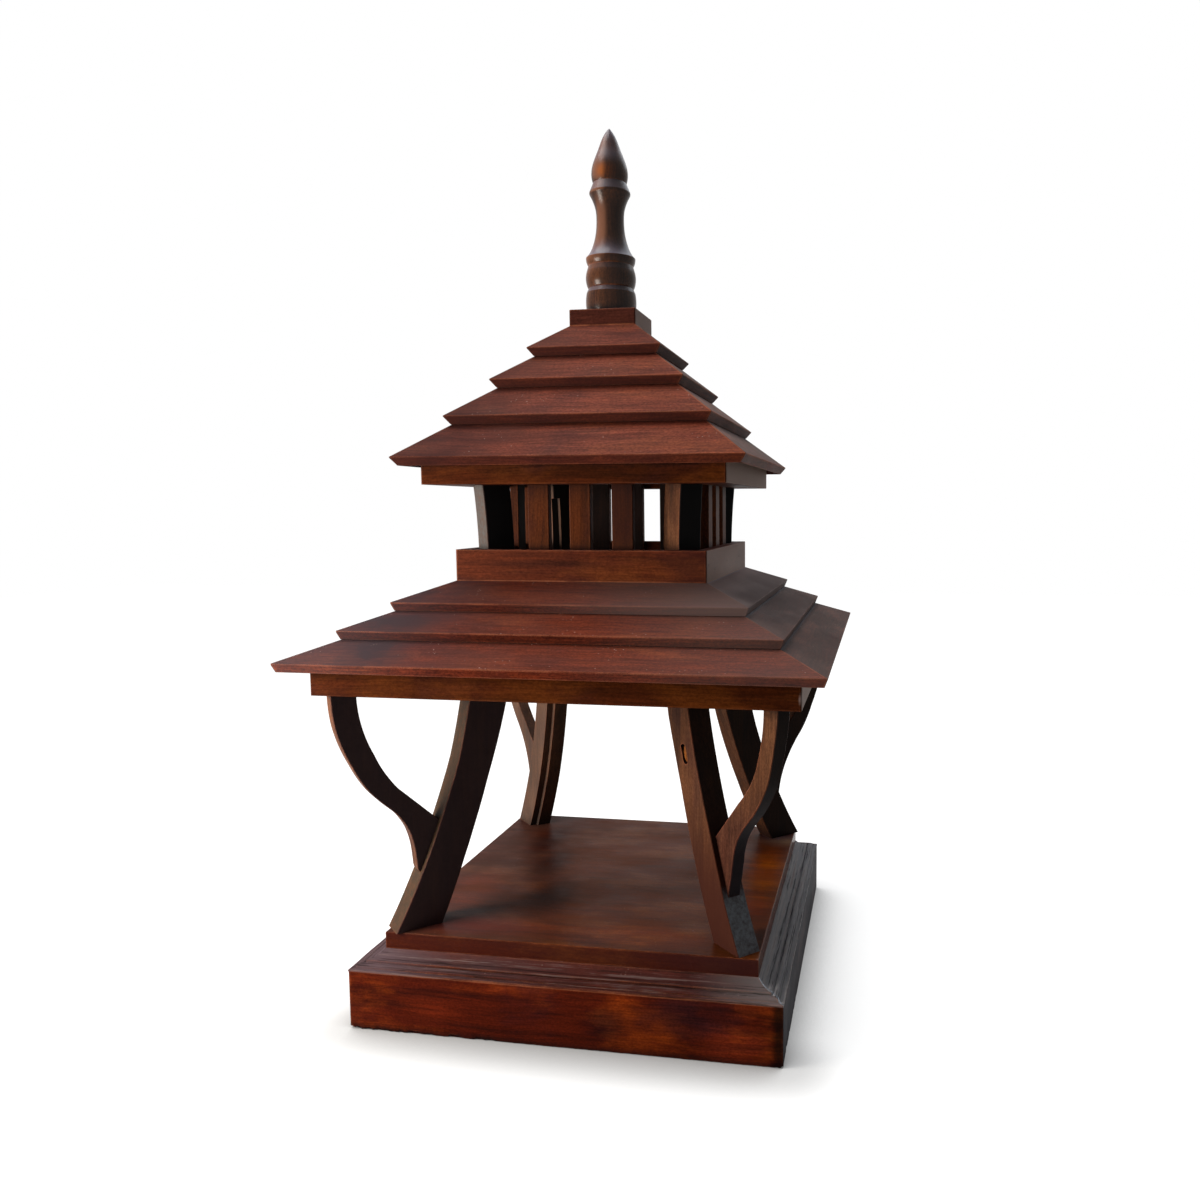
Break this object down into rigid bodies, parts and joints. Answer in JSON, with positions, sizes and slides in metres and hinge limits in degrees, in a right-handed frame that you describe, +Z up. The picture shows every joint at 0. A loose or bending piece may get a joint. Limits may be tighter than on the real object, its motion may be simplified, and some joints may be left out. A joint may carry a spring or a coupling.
{
  "type": "spirit house",
  "caption": "Wooden spirit house with a moulded plinth, an open pavilion on curved corner posts, tiered roofs, a slatted lantern and a turned finial.",
  "frame": {"origin": "middle of the underside of the plinth, on the surface it stands on", "axes": "+Z up to the finial, -Y to the front, +X to the right seen from the front"},
  "size_m": [0.4334, 0.4334, 0.7811],
  "materials": {
    "plinth_wood": "dark red-brown stain under varnish, figured face grain, dusty moulding and chipped lower edge",
    "floor_wood": "dark red-brown stain under glossy varnish, rubbed and dusty",
    "post_wood": "dark brown stain, satin, with a weathered grey cast on the sides that face the light",
    "lower_roof_wood": "dark red-brown stain, satin, dusty slopes with worn light arrises",
    "upper_roof_wood": "dark red-brown stain, satin, dusty slopes with worn light arrises",
    "beam_wood": "red-brown stain, satin, with orange-brown patches",
    "lantern_wood": "red-brown stain, satin, with filled brad holes",
    "finial_wood": "turned dark brown wood, semi-gloss, worn on the high rings"
  },
  "bodies": {
    "root": {"base_board_back": "plinth_wood", "base_board_front": "plinth_wood", "base_board_left": "plinth_wood", "base_board_right": "plinth_wood", "base_moulding_front_back": "plinth_wood", "base_moulding_sides": "plinth_wood", "bracket_back_left": "post_wood", "bracket_back_right": "post_wood", "bracket_front_left": "post_wood", "bracket_front_right": "post_wood", "corner_post_back_left": "post_wood", "corner_post_back_right": "post_wood", "corner_post_front_left": "post_wood", "corner_post_front_right": "post_wood", "finial": "finial_wood", "floor_board": "floor_wood", "lantern_curb_front_back": "lantern_wood", "lantern_curb_sides": "lantern_wood", "lantern_slats_back": "lantern_wood", "lantern_slats_front": "lantern_wood", "lantern_slats_left": "lantern_wood", "lantern_slats_right": "lantern_wood", "lower_beam_front_back": "beam_wood", "lower_beam_sides": "beam_wood", "lower_roof_tier_1_front_back": "lower_roof_wood", "lower_roof_tier_1_sides": "lower_roof_wood", "lower_roof_tier_2_front_back": "lower_roof_wood", "lower_roof_tier_2_sides": "lower_roof_wood", "lower_roof_tier_3_front_back": "lower_roof_wood", "lower_roof_tier_3_sides": "lower_roof_wood", "roof_cap": "upper_roof_wood", "upper_beam_front_back": "beam_wood", "upper_beam_sides": "beam_wood", "upper_roof_tier_1_front_back": "upper_roof_wood", "upper_roof_tier_1_sides": "upper_roof_wood", "upper_roof_tier_2_front_back": "upper_roof_wood", "upper_roof_tier_2_sides": "upper_roof_wood", "upper_roof_tier_3_front_back": "upper_roof_wood", "upper_roof_tier_3_sides": "upper_roof_wood", "upper_roof_tier_4_front_back": "upper_roof_wood", "upper_roof_tier_4_sides": "upper_roof_wood"}
  },
  "joints": []
}
